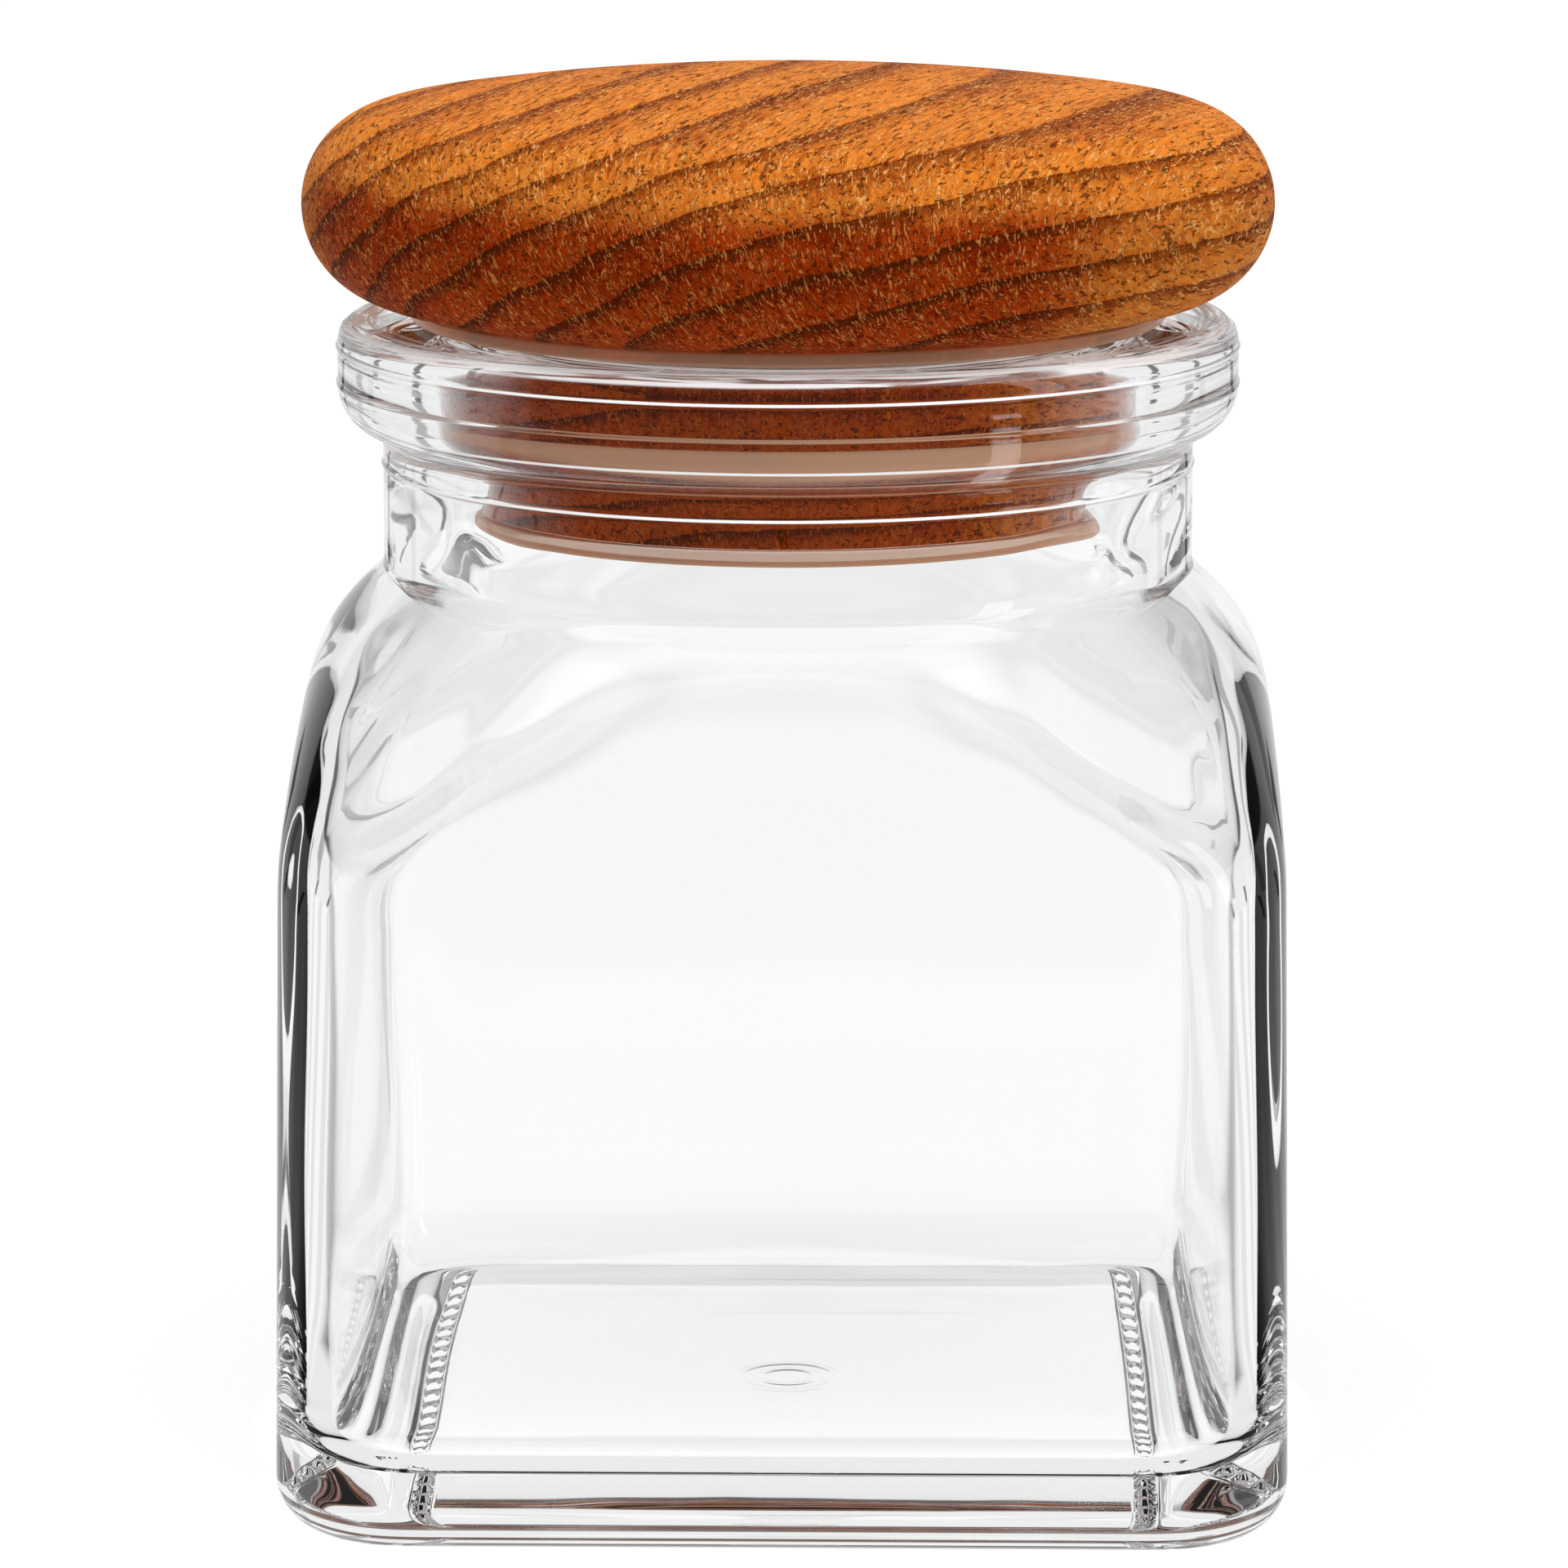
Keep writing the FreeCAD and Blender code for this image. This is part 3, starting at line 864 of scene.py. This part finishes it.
def bearing(s, place):
    """Bearing of a place or direction round the jar, from the right, and its share of the way to the back."""
    parts = s.node("ShaderNodeSeparateXYZ", {"Vector": place})
    azimuth = s.math("ARCTAN2", parts.outputs["Y"], parts.outputs["X"])
    return azimuth, s.math("SINE", azimuth)


def thin_gaps(s, azimuth, count, dark):
    """A number of white cards side by side all round, with thin dark gaps."""
    return s.span(s.math("COSINE", s.math("MULTIPLY", azimuth, count)), -0.97, -0.85, dark, 1.0)


def black_flags(s, azimuth, away):
    """White cards with black flags of uneven widths between them."""
    turn = s.math("ADD", s.math("MULTIPLY", azimuth, 4.0), s.math("MULTIPLY", away, 6.0))
    flags = s.span(s.math("COSINE", turn), -0.35, -0.1, 0.02, 1.0)
    soft = s.span(s.math("COSINE", s.math("MULTIPLY", azimuth, 22.0)), -0.6, 0.2, 0.8, 0.97)
    often = s.math("GREATER_THAN", s.node("ShaderNodeLightPath").outputs["Glossy Depth"], 2.5)
    seldom = s.math("SUBTRACT", 1.0, often)
    return s.math("ADD", s.math("MULTIPLY", often, flags), s.math("MULTIPLY", seldom, soft))


world = bpy.data.worlds.new("studio")
bpy.context.scene.world = world
world.use_nodes = True
s = Shader(world.node_tree)
direction = s.node("ShaderNodeTexCoord").outputs["Generated"]
straight, mirrored = seen_straight(s)
ambient = s.math("MULTIPLY", s.math("SUBTRACT", 1.0, s.math("ADD", straight, mirrored)), 0.35)
rise = s.dot(direction, (0.0, 0.0, 1.0))
azimuth, to_back = bearing(s, direction)

# What the glass mirrors: low cards behind, and a grey room overhead
low_card = s.span(rise, 0.33, 0.38, 0.87, 0.1)
low_card = s.math("MULTIPLY", low_card, thin_gaps(s, azimuth, 9.0, 0.5))
low_card = s.math("MULTIPLY", low_card, s.span(to_back, -0.3, 0.1, 0.15, 1.0))
room = s.math("MAXIMUM", low_card, s.span(rise, 0.52, 0.66, 0.0, 0.35))

# A white strip overhead, from left to right
off_strip = s.math("ABSOLUTE", s.math("ADD", s.dot(direction, (0.0, 1.0, 0.0)), 0.13))
strip = s.math("MULTIPLY", s.span(off_strip, 0.2, 0.3, 1.6, 0.0), s.span(rise, 0.55, 0.7))
room = s.math("MAXIMUM", room, strip)

# The bright field behind and in front
field = s.math("MULTIPLY", s.span(s.math("ABSOLUTE", to_back), 0.72, 0.9), s.span(rise, 0.2, 0.4, 1.0, 0.0))
field = s.span(field, 0.0, 1.0, DARK_ROOM, 0.86, smooth=False)
through = s.math("MAXIMUM", s.node("ShaderNodeLightPath").outputs["Is Camera Ray"], field)
strength = s.math("ADD", s.math("MULTIPLY", straight, through), s.math("MULTIPLY", mirrored, room))
strength = s.math("ADD", strength, ambient)
sky = s.node("ShaderNodeBackground", {"Color": (1.0, 1.0, 1.0, 1.0), "Strength": strength})
s.node("ShaderNodeOutputWorld", {"Surface": sky.outputs[0]})

# Floor: white where it is seen directly. Mirrored rays see cards on it, and rays bent far aside see it darker.
floor_mesh = bpy.data.meshes.new("floor")
floor_mesh.from_pydata([(-4, -4, 0), (4, -4, 0), (4, 4, 0), (-4, 4, 0)], [], [(0, 1, 2, 3)])
floor = bpy.data.objects.new("floor", floor_mesh)
floor.location.z = -0.00002
bpy.context.scene.collection.objects.link(floor)
floor_paint, s = new_material("floor_paint")
straight, mirrored = seen_straight(s)
place = s.node("ShaderNodeTexCoord").outputs["Object"]
grey = s.node("ShaderNodeBsdfDiffuse", {"Color": (0.24, 0.24, 0.24, 1.0)})
away = s.node("ShaderNodeVectorMath", operation="LENGTH")
s.put(away.inputs[0], place)
away = away.outputs["Value"]
azimuth, to_back = bearing(s, place)
far = s.span(away, 0.27, 0.33)
flags = s.math("MULTIPLY", black_flags(s, azimuth, away), s.math("SUBTRACT", 1.0, far))
far_cards = s.math("MULTIPLY", thin_gaps(s, azimuth, 14.0, 0.2), 0.88)
table = s.math("ADD", flags, s.math("MULTIPLY", far_cards, far))
table = s.math("MULTIPLY", table, s.span(to_back, -0.3, 0.1, 0.12, 1.0))
table = s.math("MAXIMUM", table, s.span(away, 0.065, 0.08, 0.85, 0.0))
field = s.span(s.math("ABSOLUTE", to_back), 0.6, 0.85, DARK_ROOM, 1.0)
field = s.math("MAXIMUM", field, s.span(away, 0.065, 0.09, 1.0, 0.0))
field = s.math("MAXIMUM", field, s.span(away, 0.034, 0.046, 1.12, 0.0))
field = s.math("MULTIPLY", field, s.span(away, 0.3, 0.46, 1.0, 0.8))
field = s.math("MAXIMUM", field, s.node("ShaderNodeLightPath").outputs["Is Camera Ray"])
direct = s.math("MULTIPLY", straight, s.span(away, 0.15, 0.8, 0.8, 0.97))
direct = s.math("MULTIPLY", direct, field)
glow_level = s.math("ADD", direct, s.math("MULTIPLY", mirrored, table))
bounce = s.math("MULTIPLY", s.math("SUBTRACT", 1.0, s.math("ADD", straight, mirrored)), 0.4)
glow_level = s.math("ADD", glow_level, bounce)
glow = s.node("ShaderNodeEmission", {"Color": (1.0, 1.0, 1.0, 1.0), "Strength": glow_level})
lit = s.node("ShaderNodeAddShader")
s.put(lit.inputs[0], grey.outputs[0])
s.put(lit.inputs[1], glow.outputs[0])
both = s.node("ShaderNodeMixShader", {"Fac": mirrored})
s.put(both.inputs[1], lit.outputs[0])
s.put(both.inputs[2], glow.outputs[0])
s.node("ShaderNodeOutputMaterial", {"Surface": both.outputs[0]})
floor_mesh.materials.append(floor_paint)


def soft_box(name, place, aim, width, depth, power):
    """Soft lamp at a place, turned to a point."""
    lamp = bpy.data.lights.new(name, "AREA")
    lamp.shape = "RECTANGLE"
    lamp.size = width
    lamp.size_y = depth
    lamp.energy = power
    box = bpy.data.objects.new(name, lamp)
    box.location = place
    box.rotation_euler = (Vector(aim) - Vector(place)).to_track_quat("-Z", "Y").to_euler()
    bpy.context.scene.collection.objects.link(box)
    return box


# Lamps. The glass doesn't mirror the first two, and the second lights only the jar.
over = soft_box("light_over", (0.0, -0.12, 0.8), (0, 0, 0.08), width=0.45, depth=0.45, power=4.2)
fill = soft_box("light_front", (0.0, -0.7, 0.25), (0, 0, 0.07), width=0.5, depth=0.4, power=4.3)
for box in (over, fill):
    box.visible_glossy = False
    box.visible_transmission = False
fill.light_linking.receiver_collection = bpy.data.collections.new("clear_pieces")
fill.light_linking.receiver_collection.objects.link(jar)
soft_box("light_right", (0.75, -0.3, 0.35), (0, 0, 0.07), width=0.15, depth=0.6, power=1.2)

# Camera, as far away and as high as the photograph's perspective shows
EYE_DISTANCE = 0.5
EYE_HEIGHT = 0.1428
EYE_TURN = math.radians(1.0)
EYE_PITCH = math.radians(11.18)
EYE_YAW = 5 / 9352.3
LENS = 175.36
SENSOR = 36.0
camera_data = bpy.data.cameras.new("camera")
camera_data.lens = LENS
camera_data.sensor_width = SENSOR
camera = bpy.data.objects.new("camera", camera_data)
camera.location = (EYE_DISTANCE * math.sin(EYE_TURN), -EYE_DISTANCE * math.cos(EYE_TURN), EYE_HEIGHT)
camera.rotation_euler = (math.pi / 2 - EYE_PITCH, 0.0, EYE_TURN + EYE_YAW)
bpy.context.scene.collection.objects.link(camera)
bpy.context.scene.camera = camera
bpy.context.scene.view_settings.view_transform = "Standard"

# Light takes many turns inside thick glass
cycles = bpy.context.scene.cycles
cycles.max_bounces = 32
cycles.glossy_bounces = 9
cycles.transmission_bounces = 32
